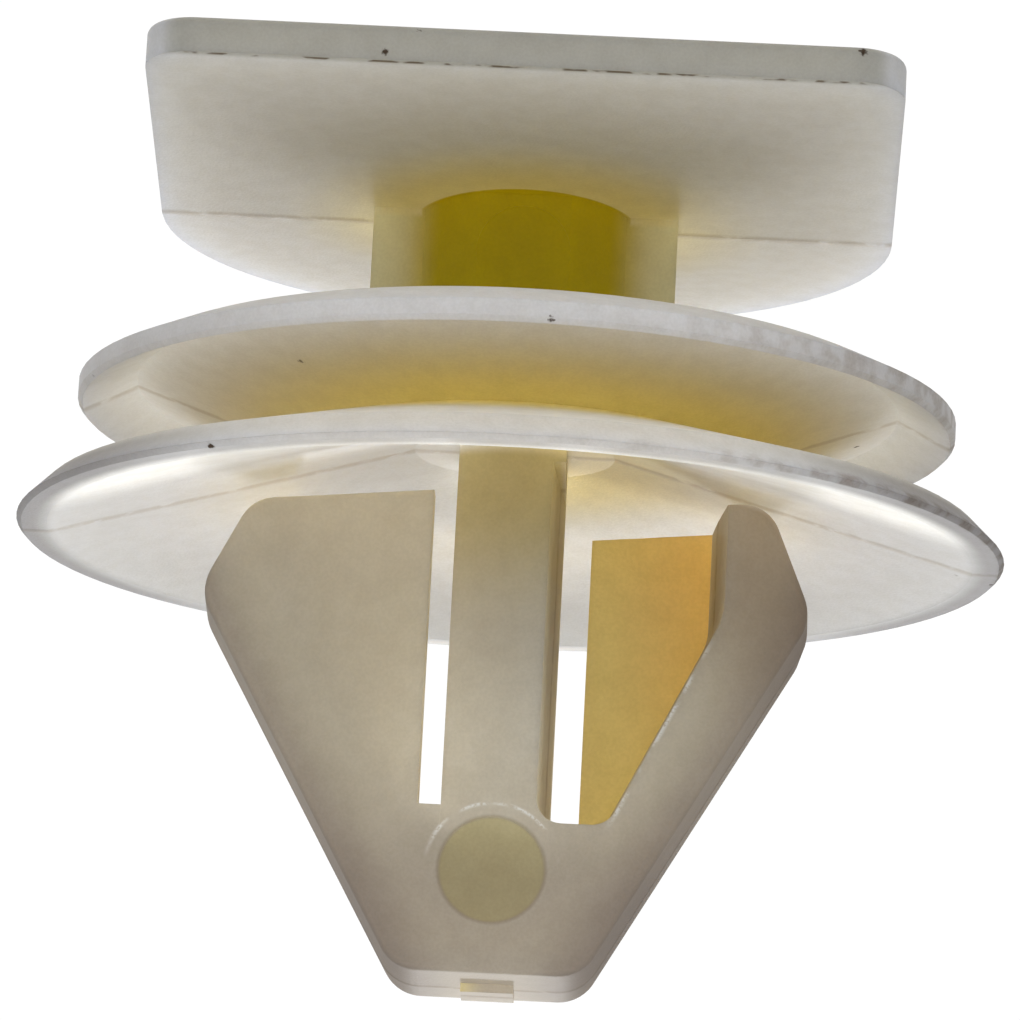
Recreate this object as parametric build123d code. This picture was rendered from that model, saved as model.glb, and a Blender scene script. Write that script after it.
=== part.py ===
from build123d import *
import os
from math import tan, radians

# A push-in cowl retainer, moulded in one piece from natural nylon. Sizes are in millimetres.
# The frame: the origin is the centre of the head's outer face, on the axis of the neck.
# Z runs from the head through the neck and the two flanges to the tip of the prong.
# Y is the way the two mould halves part: they meet on the plane Y = 0. The head's straight edge is at -Y.

# Head: a flat plate, straight at the front and half round at the rear, which slides into a bracket.
HEAD_WIDTH = 15.0
HEAD_FRONT_REACH = 9.0
HEAD_REAR_REACH = 7.75
HEAD_MIDDLE_THICKNESS = 1.46
HEAD_FRONT_THICKNESS = 0.7
HEAD_REAR_THICKNESS = 1.4
HEAD_SIDE_DRAFT = 1.3
HEAD_CORNER_RADIUS = 1.0
HEAD_EDGE_RADIUS = 0.2

# Neck: a web across the part with a round column in its middle.
NECK_WEB_WIDTH = 6.2
NECK_WEB_THICKNESS = 1.8
NECK_COLUMN_DIAMETER = 4.5
NECK_COLUMN_DEPTH = 4.1

# Lower flange: a dished disc whose free edge seals on the panel.
HEAD_TO_SEAT = 8.28
LOWER_DIAMETER = 20.0
LOWER_RIM_HEIGHT = 0.6
LOWER_RIM_LEAN = 0.5
LOWER_SEAT_WIDTH = 0.62
LOWER_DISH_ANGLE = 15.5
LOWER_BACK_ANGLE = 16.5

# Upper flange: a thinner lip, folded where the groove between the two flanges ends.
GROOVE_ROOT_DIAMETER = 9.3
UPPER_DIAMETER = 17.86
UPPER_LIP_WIDTH = 1.18
UPPER_GROOVE_ANGLE = 19.0
UPPER_LIP_THICKNESS = 0.43
UPPER_LIP_DROP = 0.54
UPPER_RIM_HEIGHT = 0.42
UPPER_BACK_ANGLE = 9.0
UPPER_BACK_RADIUS = 1.9

# Prong: a flat wedge on a centre post, with a spring leg on each side that is joined at the tip only.
# The pocket of the front leg, at -X, opens to the front, and that of the rear leg, at +X, to the rear.
# A rise is how far the end of a leg reaches past the free edge of the lower flange, into its dish.
PRONG_LENGTH = 8.93
PRONG_DEPTH = 4.0
PRONG_DRAFT = 2.0
TIP_WIDTH = 3.8
TIP_CORNER_RADIUS = 0.9
LEG_SHOULDER_WIDTH = 12.4
LEG_SHOULDER_DROP = 1.45
LEG_SHOULDER_RADIUS = 1.0
LEG_TOP_WIDTH = 10.4
LEG_TOP_RADIUS = 0.85
REAR_LEG_OUTER_RISE = 0.54
REAR_LEG_INNER_RISE = 0.94
FRONT_LEG_INNER_RISE = 0.55
FRONT_LEG_OUTER_RISE = 0.95
LEG_RIB_WIDTH = 2.1
LEG_WEB_THICKNESS = 0.95
POST_WIDTH = 2.14
FRONT_SLOT_WIDTH = 0.58
REAR_SLOT_WIDTH = 0.46
SLOT_END_TO_TIP = 3.36
POCKET_FOOT_WIDTH = 1.0
POCKET_DRAFT = 5.0
POCKET_CORNER_RADIUS = 0.25
PRONG_EDGE_RADIUS = 0.2

# Marks that the mould leaves: ejector pin circles, a step round the tip's circle and the gate.
EJECTOR_DIAMETER = 2.1
EJECTOR_DEPTH = 0.06
EJECTOR_TO_TIP = 2.11
POST_STEP_DIAMETER = 2.7
POST_STEP_DEPTH = 0.1
NECK_EJECTOR_DIAMETER = 1.9
NECK_EJECTOR_DEPTH = 0.04
GATE_WIDTH = 1.05
GATE_DEPTH = 1.3
GATE_HEIGHT = 0.15

# The bevel on the free edges of the flanges, and how far a cutting shape reaches past what it cuts.
RIM_BEVEL = 0.1
OVERLAP = 0.3

# Heights and radii that follow from the sizes above.
HEAD_RADIUS = HEAD_WIDTH / 2
SEAT_Z = HEAD_TO_SEAT
TIP_Z = SEAT_Z + PRONG_LENGTH
LOWER_SHOULDER_R = LOWER_DIAMETER / 2 - LOWER_RIM_LEAN
LOWER_SHOULDER_Z = SEAT_Z - LOWER_RIM_HEIGHT
GROOVE_R = GROOVE_ROOT_DIAMETER / 2
GROOVE_Z = LOWER_SHOULDER_Z - (LOWER_SHOULDER_R - GROOVE_R) * tan(radians(LOWER_BACK_ANGLE))
FOLD_R = UPPER_DIAMETER / 2 - UPPER_LIP_WIDTH
FOLD_Z = GROOVE_Z - (FOLD_R - GROOVE_R) * tan(radians(UPPER_GROOVE_ANGLE))
LIP_Z = FOLD_Z + UPPER_LIP_DROP
FLANGE_ROOT_Z = FOLD_Z - UPPER_LIP_THICKNESS - FOLD_R * tan(radians(UPPER_BACK_ANGLE))
LEG_TOP_Z = SEAT_Z - max(FRONT_LEG_OUTER_RISE, REAR_LEG_INNER_RISE)
SHOULDER_Z = SEAT_Z + LEG_SHOULDER_DROP
SLOT_END_Z = TIP_Z - SLOT_END_TO_TIP
EJECTOR_Z = TIP_Z - EJECTOR_TO_TIP
POST_X = POST_WIDTH / 2
FACE_Y = PRONG_DEPTH / 2
WEB_Y = FACE_Y - LEG_WEB_THICKNESS


def closed_face(points, radii, plane):
    """A flat face inside a closed outline whose corners are rounded."""
    return plane * make_face(FilletPolyline(*points, radius=radii, close=True))


def half_turn(shape):
    """The same shape on the opposite side of the axis: the prong is alike after half a turn."""
    return Rot(0, 0, 180) * shape


def head_plate():
    """The head: thickest on the parting plane and thinner towards both edges, to leave the mould."""
    r = HEAD_RADIUS
    front = -HEAD_FRONT_REACH
    rear = HEAD_REAR_REACH
    turn = rear - r
    front_r = r - HEAD_FRONT_REACH * tan(radians(HEAD_SIDE_DRAFT))
    straight = FilletPolyline(
        (-r, turn), (-r, 0), (-front_r, front), (front_r, front), (r, 0), (r, turn),
        radius=[r, HEAD_CORNER_RADIUS, HEAD_CORNER_RADIUS, r],
    )
    round_end = ThreePointArc((r, turn), (0, rear), (-r, turn))
    plan = make_face(straight.edges() + round_end.edges())
    block = extrude(plan, amount=HEAD_MIDDLE_THICKNESS)
    rim = block.faces().sort_by(Axis.Z)[0].edges()
    block = fillet(rim, HEAD_EDGE_RADIUS)
    side = [
        (front - OVERLAP, -OVERLAP),
        (rear + OVERLAP, -OVERLAP),
        (rear + OVERLAP, HEAD_REAR_THICKNESS),
        (0, HEAD_MIDDLE_THICKNESS),
        (front - OVERLAP, HEAD_FRONT_THICKNESS),
    ]
    wedge = extrude(Plane.YZ * make_face(Polyline(*side, close=True)), amount=HEAD_WIDTH, both=True)
    return block & wedge


def neck():
    """The web and the flat-sided column that join the head to the flanges."""
    height = GROOVE_Z - HEAD_FRONT_THICKNESS
    web = Box(NECK_WEB_WIDTH, NECK_WEB_THICKNESS, height, align=(Align.CENTER, Align.CENTER, Align.MIN))
    column = Cylinder(NECK_COLUMN_DIAMETER / 2, height, align=(Align.CENTER, Align.CENTER, Align.MIN))
    slab = Box(
        NECK_COLUMN_DIAMETER, NECK_COLUMN_DEPTH, height, align=(Align.CENTER, Align.CENTER, Align.MIN)
    )
    return Pos(0, 0, HEAD_FRONT_THICKNESS) * (web + (column & slab))


def flanges():
    """Both flanges and the hub between them, turned about the axis from one section."""
    lip_r = UPPER_DIAMETER / 2
    seat_in = LOWER_DIAMETER / 2 - LOWER_SEAT_WIDTH
    dish_z = SEAT_Z - seat_in * tan(radians(LOWER_DISH_ANGLE))
    section = [
        (0, FLANGE_ROOT_Z),
        (FOLD_R, FOLD_Z - UPPER_LIP_THICKNESS),
        (lip_r, LIP_Z - UPPER_RIM_HEIGHT),
        (lip_r, LIP_Z - RIM_BEVEL),
        (lip_r - RIM_BEVEL, LIP_Z),
        (FOLD_R, FOLD_Z),
        (GROOVE_R, GROOVE_Z),
        (LOWER_SHOULDER_R, LOWER_SHOULDER_Z),
        (LOWER_DIAMETER / 2, SEAT_Z - RIM_BEVEL),
        (LOWER_DIAMETER / 2 - RIM_BEVEL, SEAT_Z),
        (seat_in, SEAT_Z),
        (0, dish_z),
    ]
    radii = [0, UPPER_BACK_RADIUS] + [0] * (len(section) - 2)
    return revolve(closed_face(section, radii, Plane.XZ), Axis.Z)


def leg_outline():
    """The wedge with both legs, seen along Y: shoulders that snap behind the panel, and a blunt tip."""
    top = LEG_TOP_WIDTH / 2
    shoulder = LEG_SHOULDER_WIDTH / 2
    tip = TIP_WIDTH / 2
    outline = [
        (POST_X, SEAT_Z - REAR_LEG_INNER_RISE),
        (top, SEAT_Z - REAR_LEG_OUTER_RISE),
        (shoulder, SHOULDER_Z),
        (tip, TIP_Z),
        (-tip, TIP_Z),
        (-shoulder, SHOULDER_Z),
        (-top, SEAT_Z - FRONT_LEG_OUTER_RISE),
        (-POST_X, SEAT_Z - FRONT_LEG_INNER_RISE),
    ]
    radii = [LEG_TOP_RADIUS, LEG_SHOULDER_RADIUS, TIP_CORNER_RADIUS]
    return closed_face(outline, [0] + radii + radii[::-1] + [0], Plane.XZ)


def front_pocket():
    """The space that the front mould half leaves in the leg at -X: open at the front, closed by a web."""
    outer = LEG_SHOULDER_WIDTH / 2 - LEG_RIB_WIDTH
    foot = POST_X + POCKET_FOOT_WIDTH
    above = LEG_TOP_Z - OVERLAP
    outline = [
        (-POST_X, SLOT_END_Z),
        (-foot, SLOT_END_Z),
        (-outer, SHOULDER_Z),
        (-outer, above),
        (-POST_X, above),
    ]
    radii = [POCKET_CORNER_RADIUS, POCKET_CORNER_RADIUS, LEG_SHOULDER_RADIUS, 0, 0]
    plane = Plane(origin=(0, WEB_Y, 0), x_dir=(1, 0, 0), z_dir=(0, -1, 0))
    return extrude(closed_face(outline, radii, plane), amount=WEB_Y + FACE_Y + OVERLAP, taper=-POCKET_DRAFT)


def leg_slot(width):
    """The slot that frees the same leg from the post, through the whole depth."""
    height = SLOT_END_Z - LEG_TOP_Z + OVERLAP
    slot = Box(width, PRONG_DEPTH + OVERLAP, height, align=(Align.MAX, Align.CENTER, Align.MAX))
    return Pos(-POST_X, 0, SLOT_END_Z) * slot


def post_step():
    """The post's front face lies a little deeper than the tip, down to an arc round the ejector circle."""
    height = EJECTOR_Z - GROOVE_Z
    strip = Box(POST_WIDTH, POST_STEP_DEPTH + OVERLAP, height, align=(Align.CENTER, Align.MAX, Align.MAX))
    ring = Rot(90, 0, 0) * Cylinder(POST_STEP_DIAMETER / 2, PRONG_DEPTH)
    return Pos(0, POST_STEP_DEPTH - FACE_Y, EJECTOR_Z) * (strip - ring)


def ejector_mark(diameter, depth, face_y, z):
    """A shallow round recess in a front face, where an ejector pin pushed."""
    pin = Cylinder(diameter / 2, depth + OVERLAP, align=(Align.CENTER, Align.CENTER, Align.MIN))
    return Pos(0, depth - face_y, z) * Rot(90, 0, 0) * pin


def prong():
    """Post, legs and tip, with the pockets and slots cut out of them."""
    body = extrude(leg_outline(), amount=FACE_Y, both=True, taper=PRONG_DRAFT)
    broad_faces = body.faces().filter_by(Axis.Y)
    body = fillet(broad_faces.edges(), PRONG_EDGE_RADIUS)
    post_top = GROOVE_Z
    post = Box(
        POST_WIDTH, PRONG_DEPTH, SLOT_END_Z - post_top, align=(Align.CENTER, Align.CENTER, Align.MIN)
    )
    body += Pos(0, 0, post_top) * post
    body -= leg_slot(FRONT_SLOT_WIDTH)
    body -= half_turn(leg_slot(REAR_SLOT_WIDTH))
    for cut in (front_pocket(), post_step()):
        body -= cut
        body -= half_turn(cut)
    gate = Box(GATE_WIDTH, GATE_DEPTH, GATE_HEIGHT + OVERLAP, align=(Align.CENTER, Align.CENTER, Align.MAX))
    body += Pos(0, 0, TIP_Z + GATE_HEIGHT) * gate
    return body


def retainer():
    """The whole moulding as one solid."""
    body = head_plate() + neck() + flanges() + prong()
    for mark in (
        ejector_mark(EJECTOR_DIAMETER, EJECTOR_DEPTH, FACE_Y, EJECTOR_Z),
        ejector_mark(
            NECK_EJECTOR_DIAMETER,
            NECK_EJECTOR_DEPTH,
            NECK_COLUMN_DEPTH / 2,
            (HEAD_MIDDLE_THICKNESS + FLANGE_ROOT_Z) / 2,
        ),
    ):
        body -= mark
        body -= half_turn(mark)
    return body


os.makedirs("parts", exist_ok=True)
part = retainer()
export_step(part, "parts/cowl_retainer.step")
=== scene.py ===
from math import cos, radians, sin

import bpy
from mathutils import Matrix, Vector

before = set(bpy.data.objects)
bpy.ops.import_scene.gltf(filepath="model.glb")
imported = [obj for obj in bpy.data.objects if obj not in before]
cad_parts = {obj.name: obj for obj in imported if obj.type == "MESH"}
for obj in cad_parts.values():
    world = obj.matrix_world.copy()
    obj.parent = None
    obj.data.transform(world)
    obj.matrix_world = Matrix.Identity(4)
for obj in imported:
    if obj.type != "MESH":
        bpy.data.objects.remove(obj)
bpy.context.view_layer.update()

# The table: a sheet of white paper, on which the retainer stands with the flat outer face of its head. It
# shows as pure white and throws neither light nor shadow on the part.
SHEET_HALF = 3.0
SHEET_CORNERS = ((-1, -1), (1, -1), (1, 1), (-1, 1))
SHEET_BODY = (0.0, 0.0, 0.0, 1.0)
SHEET_WHITE = (1.0, 1.0, 1.0, 1.0)
SHEET_GLOW = 1.03

sheet_mesh = bpy.data.meshes.new("sheet")
sheet_mesh.from_pydata([(x * SHEET_HALF, y * SHEET_HALF, 0.0) for x, y in SHEET_CORNERS], [], [(0, 1, 2, 3)])
sheet = bpy.data.objects.new("sheet", sheet_mesh)
bpy.context.collection.objects.link(sheet)
sheet_paper = bpy.data.materials.new("white_paper")
sheet_paper.use_nodes = True
paper_shader = sheet_paper.node_tree.nodes["Principled BSDF"]
paper_shader.inputs["Base Color"].default_value = SHEET_BODY
paper_shader.inputs["Specular IOR Level"].default_value = 0.0
paper_shader.inputs["Emission Color"].default_value = SHEET_WHITE
paper_shader.inputs["Emission Strength"].default_value = SHEET_GLOW
sheet.data.materials.append(sheet_paper)
sheet.visible_diffuse = False
sheet.visible_glossy = False
sheet.visible_transmission = False
sheet.visible_shadow = False

# The light: a white tent, bright behind the part, right above it and in a low ring in front of it, and dim
# at its sides, with one soft window low behind the part that shines through the nylon. A pair of numbers is
# where a change of the tent begins and where it is complete, from -1 to 1 along one axis.
TENT_FRONT = (0.72, 0.72, 0.715, 1.0)
TENT_FRONT_SHADE = (0.48, 0.48, 0.475, 1.0)
TENT_SIDE = (0.32, 0.32, 0.315, 1.0)
TENT_BACK = (0.95, 0.95, 0.95, 1.0)
TENT_BACK_SHADE = (0.55, 0.55, 0.55, 1.0)
TENT_HIGH = (0.42, 0.42, 0.41, 1.0)
TENT_TOP = (1.2, 1.2, 1.19, 1.0)
TENT_RING = (1.05, 1.05, 1.05, 1.0)
ACROSS_FRONT = (-0.9, 0.9)
FRONT_TO_SIDE = (-0.9, -0.2)
ACROSS_BACK = (-0.7, 0.7)
SIDE_TO_BACK = (0.0, 0.7)
WALL_TO_HIGH = (0.25, 0.6)
HIGH_TO_TOP = (0.6, 0.95)
RING_UPPER_EDGE = (-0.1, -0.45)
RING_LOWER_EDGE = (-0.85, -0.55)
RING_BACK_TO_FRONT = (0.5, -0.4)
WINDOW_SIDE_ANGLE = 180.0
WINDOW_HEIGHT_ANGLE = 20.5
WINDOW_SPREAD = 6.0
WINDOW_STRENGTH = 0.6


class Wire:
    """A socket in a tree of nodes. Python's operators on it lay Math nodes."""

    MIX_FACTOR, MIX_FIRST, MIX_SECOND, MIX_RESULT = 0, 6, 7, 2

    def __init__(self, tree, socket=None):
        self.tree = tree
        self.socket = socket

    def node(self, kind, settings, values, output=0):
        """A node of any kind, with its settings made first, and then the values or wires of its sockets."""
        new = self.tree.nodes.new(kind)
        for name, value in settings.items():
            setattr(new, name, value)
        for key, value in values.items():
            if isinstance(value, Wire):
                self.tree.links.new(value.socket, new.inputs[key])
            else:
                new.inputs[key].default_value = value
        return Wire(self.tree, new.outputs[output])

    def other(self, output):
        """Another output of the node that this wire comes from."""
        return Wire(self.tree, self.socket.node.outputs[output])

    def parts(self):
        """The X, Y and Z of this vector."""
        split = self.node("ShaderNodeSeparateXYZ", {}, {"Vector": self})
        return [split.other(axis) for axis in "XYZ"]

    def math(self, operation, *values):
        return self.node("ShaderNodeMath", {"operation": operation}, dict(enumerate(values)))

    def __add__(self, other):
        return self.math("ADD", self, other)

    def __sub__(self, other):
        return self.math("SUBTRACT", self, other)

    def __rsub__(self, other):
        return self.math("SUBTRACT", other, self)

    def __mul__(self, other):
        return self.math("MULTIPLY", self, other)

    def __abs__(self):
        return self.math("ABSOLUTE", self)

    __radd__ = __add__
    __rmul__ = __mul__

    def root(self):
        return self.math("SQRT", self)

    def most(self, other):
        """The larger of this wire and another."""
        return self.math("MAXIMUM", self, other)

    def rise(self, start, end):
        """0 where this wire is at the start and 1 where it is at the end, with a smooth step between."""
        values = {"Value": self, "From Min": start, "From Max": end}
        return self.node("ShaderNodeMapRange", {"interpolation_type": "SMOOTHSTEP"}, values)

    def near(self, middle, reach):
        """1 where this wire is at the middle, falling smoothly to 0 at the reach on either side of it."""
        return abs(self - middle).rise(reach, 0.0)

    def mix(self, first, second):
        """The colour first where this wire is 0, and second where it is 1."""
        values = {self.MIX_FACTOR: self, self.MIX_FIRST: first, self.MIX_SECOND: second}
        return self.node("ShaderNodeMix", {"data_type": "RGBA"}, values, self.MIX_RESULT)

    def shaded(self, where, shade):
        """This colour where the wire called where is 0, and this colour times a shade where it is 1."""
        values = {self.MIX_FACTOR: where, self.MIX_FIRST: self, self.MIX_SECOND: shade}
        settings = {"data_type": "RGBA", "blend_type": "MULTIPLY"}
        return self.node("ShaderNodeMix", settings, values, self.MIX_RESULT)


def direction(side_angle, height_angle):
    """The way out from the part, at angles in degrees from straight in front of its photographed side."""
    side, height = radians(side_angle), radians(height_angle)
    return Vector((sin(side) * cos(height), -cos(side) * cos(height), sin(height)))


tent = bpy.data.worlds.new("tent")
tent.use_nodes = True
way_x, way_y, way_z = Wire(tent.node_tree).node("ShaderNodeTexCoord", {}, {}, "Generated").parts()
tent_front = way_x.rise(*ACROSS_FRONT).mix(TENT_FRONT_SHADE, TENT_FRONT)
tent_sides = way_y.rise(*FRONT_TO_SIDE).mix(tent_front, TENT_SIDE)
tent_back = way_x.rise(*ACROSS_BACK).mix(TENT_BACK_SHADE, TENT_BACK)
tent_walls = way_y.rise(*SIDE_TO_BACK).mix(tent_sides, tent_back)
tent_high = way_z.rise(*WALL_TO_HIGH).mix(tent_walls, TENT_HIGH)
tent_above = way_z.rise(*HIGH_TO_TOP).mix(tent_high, TENT_TOP)
tent_ring = way_z.rise(*RING_UPPER_EDGE) * way_z.rise(*RING_LOWER_EDGE) * way_y.rise(*RING_BACK_TO_FRONT)
tent_colour = tent_ring.mix(tent_above, TENT_RING)
tent.node_tree.links.new(tent_colour.socket, tent.node_tree.nodes["Background"].inputs["Color"])
bpy.context.scene.world = tent
bpy.context.scene.view_settings.view_transform = "Standard"

window = bpy.data.lights.new("window", "SUN")
window.angle = radians(WINDOW_SPREAD)
window.energy = WINDOW_STRENGTH
window_lamp = bpy.data.objects.new("window", window)
window_way = direction(WINDOW_SIDE_ANGLE, WINDOW_HEIGHT_ANGLE)
window_lamp.rotation_euler = window_way.to_track_quat("Z", "Y").to_euler()
bpy.context.collection.objects.link(window_lamp)

# The camera: 12 cm in front of the part and a little raised, held upside down, so that the head is at the
# top of the picture. Its place and lens were fitted to the photograph, and its shift is that of a picture
# cut from a larger one.
CAMERA_AIM = Vector((-0.00096, 0.0, 0.00799))
CAMERA_DISTANCE = 0.12006
CAMERA_SIDE_ANGLE = -0.765
CAMERA_HEIGHT_ANGLE = 12.383
CAMERA_ROLL = -177.14
CAMERA_LENS = 208.84
CAMERA_SENSOR = 36.0
CAMERA_SHIFT = (-0.0469, 0.0308)
CAMERA_NEAREST = 0.01

lens = bpy.data.cameras.new("camera")
lens.lens = CAMERA_LENS
lens.sensor_width = CAMERA_SENSOR
lens.shift_x, lens.shift_y = CAMERA_SHIFT
lens.clip_start = CAMERA_NEAREST
camera = bpy.data.objects.new("camera", lens)
camera_way = direction(CAMERA_SIDE_ANGLE, CAMERA_HEIGHT_ANGLE)
upright = camera_way.to_track_quat("Z", "Y").to_matrix()
camera.matrix_world = (
    Matrix.Translation(CAMERA_AIM + camera_way * CAMERA_DISTANCE)
    @ (upright @ Matrix.Rotation(radians(CAMERA_ROLL), 3, "Z")).to_4x4()
)
bpy.context.collection.objects.link(camera)
bpy.context.scene.camera = camera

# The retainer: one injection moulding of natural nylon, milky and satin, that light shines through. Each
# feature has its own tint below, placed in millimetres on the part: a pair of numbers is where a tint
# begins and where it is full. A shade is multiplied with the tint that it lies on. Many of the tints and
# shades are painted light: painted shade, painted shadows, a painted glow of light through the nylon, and
# painted highlights.
MM = 1000.0
GRAIN_SIZE = 0.06
GRAIN_DETAIL = 1.0
CLOUDS_PER_MM = 2.2
CLOUD_DETAIL = 2.0
SIDEWAYS = (0.95, 0.3)

nylon = bpy.data.materials.new("natural_nylon")
nylon.use_nodes = True
nylon_tree = nylon.node_tree
place = Wire(nylon_tree).node("ShaderNodeTexCoord", {}, {}, "Object")
place_mm = place.node("ShaderNodeVectorMath", {"operation": "SCALE"}, {"Vector": place, "Scale": MM})
x, y, z = place_mm.parts()
across, aside = abs(x), abs(y)
radius = (x * x + y * y).root()
facing_side = abs(place.other("Normal").parts()[1]).rise(*SIDEWAYS)
grain_values = {"Vector": place_mm, "Scale": 1 / GRAIN_SIZE, "Detail": GRAIN_DETAIL}
grain = place_mm.node("ShaderNodeTexNoise", {}, grain_values)
cloud_values = {"Vector": place_mm, "Scale": CLOUDS_PER_MM, "Detail": CLOUD_DETAIL}
clouds = place_mm.node("ShaderNodeTexNoise", {}, cloud_values)

# The flanges: white, with a dished disc below the prong. The dish has painted shade towards its rim,
# painted light towards its middle and its front, and a yellow painted shadow of the web and the post on
# one side. Deep in the groove is a painted gold glow of light shining through the nylon.
FLANGE_TINT = (0.74, 0.738, 0.75, 1.0)
DISH_CENTRE = 5.68
DISH_SLOPE = 0.277
DISH_SKIN = (-0.3, -0.15)
DISH_EDGE = (9.7, 9.4)
DISH_OUTER_PAINTED_SHADE = (0.56, 0.56, 0.58, 1.0)
DISH_INNER_PAINTED_LIGHT = (0.98, 0.985, 1.0, 1.0)
DISH_INNER_RADII = (8.5, 4.0)
DISH_FRONT = (-1.5, -4.0)
WEB_SHADOW_TINT = (1.0, 0.86, 0.46, 1.0)
WEB_SHADOW_RADII = (4.9, 2.5)
WEB_SHADOW_SIDE = (1.5, -1.5)
WEB_SHADOW_HEIGHTS = (5.9, 6.1)
GROOVE_GLOW_TINT = (0.88, 0.76, 0.31, 1.0)
GROOVE_RADII = (7.6, 4.7)
GROOVE_HEIGHTS = (3.6, 4.4)
GROOVE_BELOW_DISH = (-0.2, -0.5)
GROOVE_PALE_SIDE = (1.0, 7.0)
GROOVE_PALING = 0.5

above_dish = z - radius * DISH_SLOPE - DISH_CENTRE
# Painted shade towards the dish's rim, and painted light towards its middle and its front.
dish_colour = radius.rise(*DISH_INNER_RADII).most(y.rise(*DISH_FRONT)).mix(DISH_OUTER_PAINTED_SHADE, DISH_INNER_PAINTED_LIGHT)
dish = above_dish.rise(*DISH_SKIN) * radius.rise(*DISH_EDGE)
nylon_colour = dish.mix(FLANGE_TINT, dish_colour)
# A yellow painted shadow of the web and the post on the dish, on one side of the post.
web_shadow = radius.rise(*WEB_SHADOW_RADII) * x.rise(*WEB_SHADOW_SIDE) * z.rise(*WEB_SHADOW_HEIGHTS)
nylon_colour = web_shadow.mix(nylon_colour, WEB_SHADOW_TINT)
# A painted gold glow of light shining through the nylon, deep in the groove and paler on one side.
groove = radius.rise(*GROOVE_RADII) * z.rise(*GROOVE_HEIGHTS) * above_dish.rise(*GROOVE_BELOW_DISH)
groove = groove * (1 - x.rise(*GROOVE_PALE_SIDE) * GROOVE_PALING)
nylon_colour = groove.mix(nylon_colour, GROOVE_GLOW_TINT)

# The head: a plate with a straight front edge. On it, painted shade towards the front and painted light
# towards the rear, a yellow painted shadow of the neck round its root, and painted shade on the front edge.
HEAD_TOP = (2.3, 1.5)
HEAD_FRONT_PAINTED_SHADE = (0.575, 0.575, 0.59, 1.0)
HEAD_REAR_PAINTED_LIGHT = (0.82, 0.84, 0.93, 1.0)
HEAD_FRONT_TO_REAR = (-5.5, 3.0)
NECK_SHADOW_TINT = (0.74, 0.66, 0.36, 1.0)
NECK_SHADOW_RADII = (5.2, 2.5)
HEAD_EDGE_PAINTED_SHADE = (0.41, 0.40, 0.365, 1.0)
HEAD_EDGE = (-8.7, -8.95)

# Painted shade towards the front of the head, and painted light towards its rear.
head_colour = y.rise(*HEAD_FRONT_TO_REAR).mix(HEAD_FRONT_PAINTED_SHADE, HEAD_REAR_PAINTED_LIGHT)
# A yellow painted shadow of the neck on the head, round the neck's root.
head_colour = radius.rise(*NECK_SHADOW_RADII).mix(head_colour, NECK_SHADOW_TINT)
# Painted shade on the front edge of the head.
head_colour = y.rise(*HEAD_EDGE).mix(head_colour, HEAD_EDGE_PAINTED_SHADE)
nylon_colour = z.rise(*HEAD_TOP).mix(nylon_colour, head_colour)

# The neck: a wide web with a round column in its middle, which is the deepest section of the part. It is
# painted with shade and with a yellow glow of light through it, olive in the column.
NECK_SHADE_AND_GLOW = (0.70, 0.66, 0.42, 1.0)
NECK_FOOT = (1.45, 1.6)
NECK_TOP = (4.9, 4.0)
NECK_RADII = (4.2, 3.6)
COLUMN_SHADE_AND_GLOW = (0.55, 0.43, 0.003, 1.0)
COLUMN_SIDES = (2.7, 1.7)
COLUMN_RADII = (2.34, 2.28)
COLUMN_FOOT = (0.5, 0.9)

# Painted shade with a painted yellow glow of light through the neck, olive in the column.
neck_colour = across.rise(*COLUMN_SIDES).mix(NECK_SHADE_AND_GLOW, COLUMN_SHADE_AND_GLOW)
neck_foot = z.rise(*NECK_FOOT).most(radius.rise(*COLUMN_RADII) * z.rise(*COLUMN_FOOT))
neck = neck_foot * z.rise(*NECK_TOP) * radius.rise(*NECK_RADII)
nylon_colour = neck.mix(nylon_colour, neck_colour)

# The prong: a post between two spring legs, with painted shade at the tip, along the outer edges and on the
# sideways faces of the legs, and on the rib at one side.
PRONG_ABOVE_DISH = (0.05, 0.5)
PRONG_TINT = (0.55, 0.50, 0.40, 1.0)
POST_SIDES = (1.6, 0.9)
POST_FOOT = (10.5, 7.5)
POST_FOOT_TINT = (0.50, 0.41, 0.20, 1.0)
HEART_TINT = (0.76, 0.71, 0.59, 1.0)
HEART_RADII = (4.0, 0.5)
HEART_FOOT = (10.0, 12.5)
HEART_TOP = (15.2, 13.8)
TIP_PAINTED_SHADE = (0.44, 0.385, 0.315, 1.0)
TIP_HEIGHTS = (12.5, 16.0)
LEG_SHOULDER_HALF = 6.2
LEG_SHOULDER_HEIGHT = 9.73
LEG_LEAN = 0.575
LEG_EDGE = (1.5, 0.0)
LEG_EDGE_PAINTED_SHADE = (0.70, 0.66, 0.66, 1.0)
LEG_SIDE_PAINTED_SHADE = (0.80, 0.80, 0.82, 1.0)
RIB_SIDE = (-3.0, -5.0)
RIB_HEIGHTS = (13.0, 9.5)
RIB_PAINTED_SHADE = (0.66, 0.60, 0.56, 1.0)

post_foot = across.rise(*POST_SIDES) * z.rise(*POST_FOOT)
prong_colour = post_foot.mix(PRONG_TINT, POST_FOOT_TINT)
heart = radius.rise(*HEART_RADII) * z.rise(*HEART_FOOT) * z.rise(*HEART_TOP)
prong_colour = heart.mix(prong_colour, HEART_TINT)
# Painted shade towards the tip.
prong_colour = z.rise(*TIP_HEIGHTS).mix(prong_colour, TIP_PAINTED_SHADE)
leg_outline = LEG_SHOULDER_HALF + LEG_SHOULDER_HEIGHT * LEG_LEAN - z * LEG_LEAN
leg_edge = (leg_outline - across).rise(*LEG_EDGE)
# Painted shade along the outer edges of the legs.
prong_colour = prong_colour.shaded(leg_edge, LEG_EDGE_PAINTED_SHADE)
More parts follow.
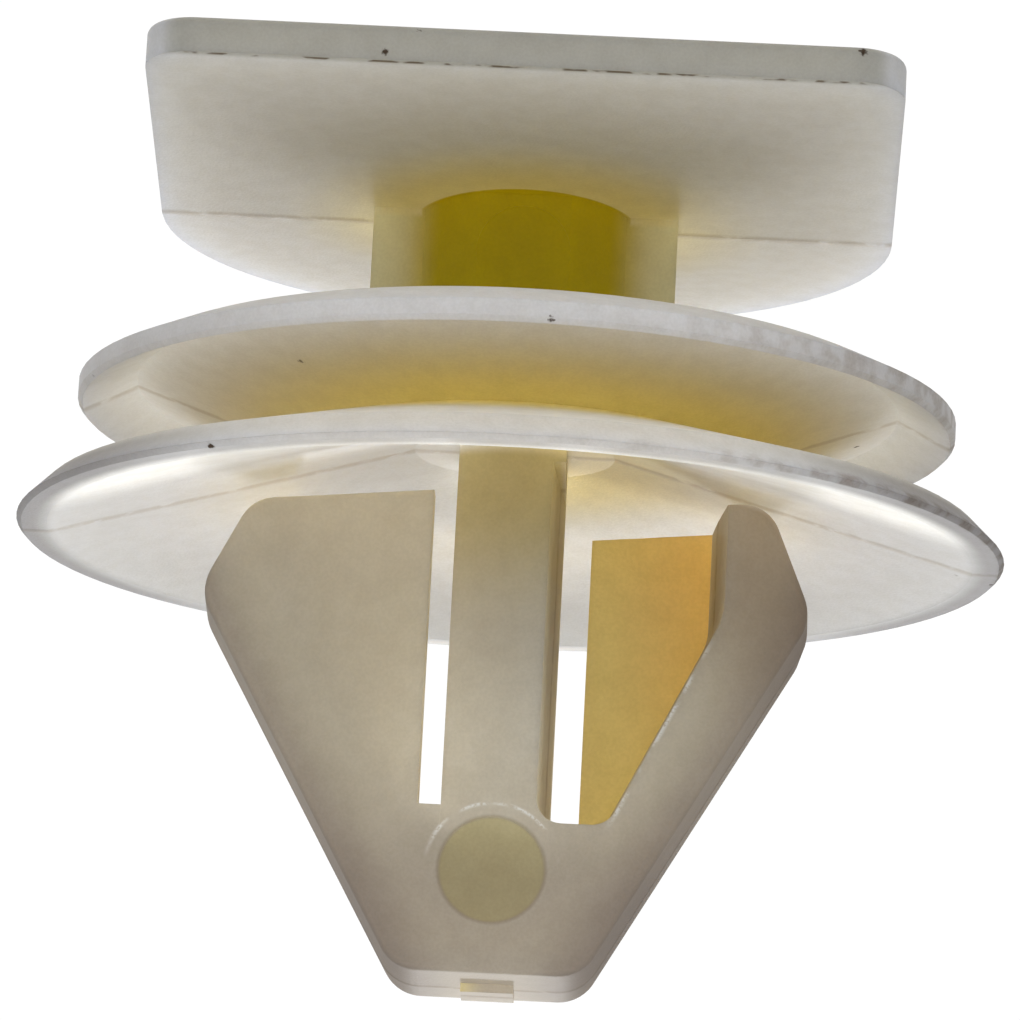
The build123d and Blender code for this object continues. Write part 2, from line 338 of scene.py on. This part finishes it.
# Painted shade on the rib at one side.
prong_colour = prong_colour.shaded(x.rise(*RIB_SIDE) * z.rise(*RIB_HEIGHTS), RIB_PAINTED_SHADE)
# More painted shade on the sideways faces at the legs' outer edges.
prong_colour = prong_colour.shaded(facing_side * leg_edge, LEG_SIDE_PAINTED_SHADE)

# The round mark of the ejector pin on the tip, inside a fine ring.
PIN_HEIGHT = 15.1
PIN_RADII = (1.08, 1.0)
PIN_SHADE = (0.88, 0.86, 0.62, 1.0)
PIN_RING_RADIUS = 1.06
PIN_RING_REACH = 0.07
PIN_RING_SHADE = (0.80, 0.78, 0.74, 1.0)

above_pin = z - PIN_HEIGHT
pin_radius = (x * x + above_pin * above_pin).root()
prong_colour = prong_colour.shaded(pin_radius.rise(*PIN_RADII), PIN_SHADE)
prong_colour = prong_colour.shaded(pin_radius.near(PIN_RING_RADIUS, PIN_RING_REACH), PIN_RING_SHADE)

# Painted highlights: broken white lines along the leaning side of each pocket, and round the pin's mark
# on its dish side.
HIGHLIGHT_TINT = (0.84, 0.84, 0.82, 1.0)
HIGHLIGHT_CLOUDS = (0.42, 0.62)
HIGHLIGHT_GRAIN = (0.25, 0.55)
POCKET_LEAN = 0.49
POCKET_REACH = 9.185
POCKET_HIGHLIGHT_REACH = 0.10
POCKET_HIGHLIGHT_QUARTERS = (3.0, 4.0)
POCKET_HIGHLIGHT_FOOT = (10.2, 10.8)
POCKET_HIGHLIGHT_TOP = (14.3, 13.8)
PIN_HIGHLIGHT_RADIUS = 1.33
PIN_HIGHLIGHT_REACH = 0.07
PIN_HIGHLIGHT_TOP = (15.0, 14.4)

pocket_side = (across + z * POCKET_LEAN).near(POCKET_REACH, POCKET_HIGHLIGHT_REACH)
pocket_span = z.rise(*POCKET_HIGHLIGHT_FOOT) * z.rise(*POCKET_HIGHLIGHT_TOP)
pocket_highlight = pocket_side * pocket_span * (x * y).rise(*POCKET_HIGHLIGHT_QUARTERS)
pin_highlight = pin_radius.near(PIN_HIGHLIGHT_RADIUS, PIN_HIGHLIGHT_REACH) * z.rise(*PIN_HIGHLIGHT_TOP)
# Painted highlights, broken up by the clouds and the grain.
painted_highlights = pocket_highlight.most(pin_highlight) * clouds.rise(*HIGHLIGHT_CLOUDS) * grain.rise(*HIGHLIGHT_GRAIN)
prong_colour = painted_highlights.mix(prong_colour, HIGHLIGHT_TINT)
nylon_colour = above_dish.rise(*PRONG_ABOVE_DISH).mix(nylon_colour, prong_colour)

# The webs: thin walls that close the pockets, one on each face, with a painted glow on them of light shining
# through, more orange further out.
WEB_GLOW_TINT = (0.74, 0.62, 0.27, 1.0)
WEB_GLOW_ORANGE = (0.80, 0.55, 0.19, 1.0)
WEB_QUARTERS = (0.0, -0.6)
WEB_DEPTHS = (1.6, 1.2)
WEB_ABOVE_DISH = (0.3, 0.6)
WEB_FACING = (0.5, 0.0)
WEB_LEAN = 0.2
WEB_IN_TO_OUT = (-0.3, 2.4)

web = (x * y).rise(*WEB_QUARTERS) * aside.rise(*WEB_DEPTHS) * above_dish.rise(*WEB_ABOVE_DISH)
# A painted glow of light shining through the webs, more orange further out.
web_colour = (across - z * WEB_LEAN).rise(*WEB_IN_TO_OUT).mix(WEB_GLOW_TINT, WEB_GLOW_ORANGE)
nylon_colour = (web * facing_side.rise(*WEB_FACING)).mix(nylon_colour, web_colour)

# The cloudiness and the grain of the nylon, and the line where the halves of the mould met, at Y = 0.
CLOUD_TONES = (0.3, 0.7)
CLOUD_SHADE = (0.95, 0.945, 0.935, 1.0)
GRAIN_TONES = (0.3, 0.7)
GRAIN_SHADE = (0.95, 0.95, 0.945, 1.0)
PARTING_WIDTHS = (0.24, 0.01)
PARTING_WAVE = 0.03
PARTING_CLOUDS = (0.3, 0.5)
PARTING_SHADE = (0.80, 0.76, 0.71, 1.0)

nylon_colour = nylon_colour.shaded(clouds.rise(*CLOUD_TONES), CLOUD_SHADE)
nylon_colour = nylon_colour.shaded(grain.rise(*GRAIN_TONES), GRAIN_SHADE)
parting = (aside - clouds * PARTING_WAVE).rise(*PARTING_WIDTHS) * clouds.rise(*PARTING_CLOUDS)
nylon_colour = nylon_colour.shaded(parting, PARTING_SHADE)

# The rims of the flanges, with painted shade: grey at both ends, and darker and warmer at the middle of
# the lower rim.
FLANGES_FOOT = (2.0, 2.4)
LOWER_RIM_RADII = (9.2, 9.7)
LOWER_RIM_HEIGHTS = (6.5, 7.0)
UPPER_RIM_RADII = (7.6, 8.9)
UPPER_RIM_TOP = (6.3, 6.1)
UPPER_RIM_SHARE = 0.4
RIM_ENDS = (3.0, 8.5)
RIM_END_PAINTED_SHADE = (0.36, 0.345, 0.34, 1.0)
RIM_FRONT = (6.0, 3.0)
RIM_FRONT_PAINTED_SHADE = (0.86, 0.83, 0.79, 1.0)

above_head = z.rise(*FLANGES_FOOT)
lower_rim = radius.rise(*LOWER_RIM_RADII) * z.rise(*LOWER_RIM_HEIGHTS)
upper_rim = radius.rise(*UPPER_RIM_RADII) * z.rise(*UPPER_RIM_TOP) * above_head * UPPER_RIM_SHARE
# Painted shade at both ends of the rims.
nylon_colour = nylon_colour.shaded(lower_rim.most(upper_rim) * across.rise(*RIM_ENDS), RIM_END_PAINTED_SHADE)
# Painted shade, darker and warmer, at the middle of the lower rim.
nylon_colour = nylon_colour.shaded(lower_rim * across.rise(*RIM_FRONT), RIM_FRONT_PAINTED_SHADE)

# Dirt: a brown film on the lips of the flanges, thicker towards one side, and a broken line of it along the
# front edge of the head.
LOWER_LIP_RADII = (9.8, 9.95)
UPPER_LIP_RADII = (8.7, 8.9)
UPPER_LIP_TOP = (6.0, 5.9)
UPPER_LIP_SHARE = 0.6
FILM_SHADE = (0.52, 0.43, 0.35, 1.0)
FILM_CLOUDS = (0.38, 0.68)
FILM_GRAIN_SHARE = 0.5
FILM_SIDE = (0.0, -9.0)
LINE_SHADE = (0.30, 0.24, 0.18, 1.0)
LINE_INNER_EDGE = (-8.82, -8.9)
LINE_OUTER_EDGE = (-8.98, -8.94)
LINE_FOOT = (0.66, 0.7)
LINE_TOP = (1.0, 0.8)
LINE_CLOUDS = (0.48, 0.6)

upper_lip = radius.rise(*UPPER_LIP_RADII) * z.rise(*UPPER_LIP_TOP) * UPPER_LIP_SHARE
lips = radius.rise(*LOWER_LIP_RADII).most(upper_lip) * above_head
film = lips * clouds.rise(*FILM_CLOUDS) * x.rise(*FILM_SIDE)
film = film * (1 - FILM_GRAIN_SHARE + grain * FILM_GRAIN_SHARE)
nylon_colour = nylon_colour.shaded(film, FILM_SHADE)
line = y.rise(*LINE_INNER_EDGE) * y.rise(*LINE_OUTER_EDGE) * z.rise(*LINE_FOOT) * z.rise(*LINE_TOP)
nylon_colour = nylon_colour.shaded(line * clouds.rise(*LINE_CLOUDS), LINE_SHADE)

# Specks of dirt: a few of them anywhere, and most caught on the lips and on the edges of the head.
HEAD_FRONT_EDGE = (-8.6, -8.8)
HEAD_SIDE_EDGES = (7.2, 7.4)
HEAD_EDGES_TOP = (1.7, 1.5)
LIPS_CATCH = 0.3
SPECK_BROWN = (0.055, 0.035, 0.022, 1.0)
SPECK_SPACING = 0.7
SPECK_RADII = (0.10, 0.05)
SPECK_RAGGEDNESS = 0.12
SPECK_LUCK = (0.98, 0.99)
SPECK_LUCK_ON_EDGES = 0.35

head_edges = y.rise(*HEAD_FRONT_EDGE).most(across.rise(*HEAD_SIDE_EDGES)) * z.rise(*HEAD_EDGES_TOP)
caught = head_edges.most(lips * LIPS_CATCH) * SPECK_LUCK_ON_EDGES
speck_gap = place_mm.node("ShaderNodeTexVoronoi", {}, {"Vector": place_mm, "Scale": 1 / SPECK_SPACING})
speck_luck = speck_gap.other("Color").parts()[0]
speck_edge = speck_gap * SPECK_SPACING + (grain - 0.5) * SPECK_RAGGEDNESS
specks = speck_edge.rise(*SPECK_RADII) * (speck_luck + caught).rise(*SPECK_LUCK)
nylon_colour = specks.mix(nylon_colour, SPECK_BROWN)

# The nylon's body: satin, with light scattered under its skin, a fine grain and a low ridge at the parting.
NYLON_ROUGHNESS = 0.6
NYLON_GLOSS = 0.2
GLOW_WEIGHT = 1.0
GLOW_DEPTH = 0.001
GLOW_REACH = (2.6, 2.2, 1.5)
GRAIN_HEIGHT = 0.007
RIDGE_HEIGHT = 0.01
RIDGE_WIDTHS = (0.2, 0.0)

nylon_shader = nylon_tree.nodes["Principled BSDF"]
nylon_tree.links.new(nylon_colour.socket, nylon_shader.inputs["Base Color"])
nylon_shader.inputs["Roughness"].default_value = NYLON_ROUGHNESS
nylon_shader.inputs["Specular IOR Level"].default_value = NYLON_GLOSS
nylon_shader.subsurface_method = "BURLEY"
nylon_shader.inputs["Subsurface Weight"].default_value = GLOW_WEIGHT
nylon_shader.inputs["Subsurface Scale"].default_value = GLOW_DEPTH
nylon_shader.inputs["Subsurface Radius"].default_value = GLOW_REACH
skin_height = grain * GRAIN_HEIGHT + aside.rise(*RIDGE_WIDTHS) * RIDGE_HEIGHT
skin_values = {"Height": skin_height, "Distance": 1 / MM, "Strength": 1.0}
skin = skin_height.node("ShaderNodeBump", {}, skin_values)
nylon_tree.links.new(skin.socket, nylon_shader.inputs["Normal"])
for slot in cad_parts["cowl_retainer"].material_slots:
    slot.material = nylon
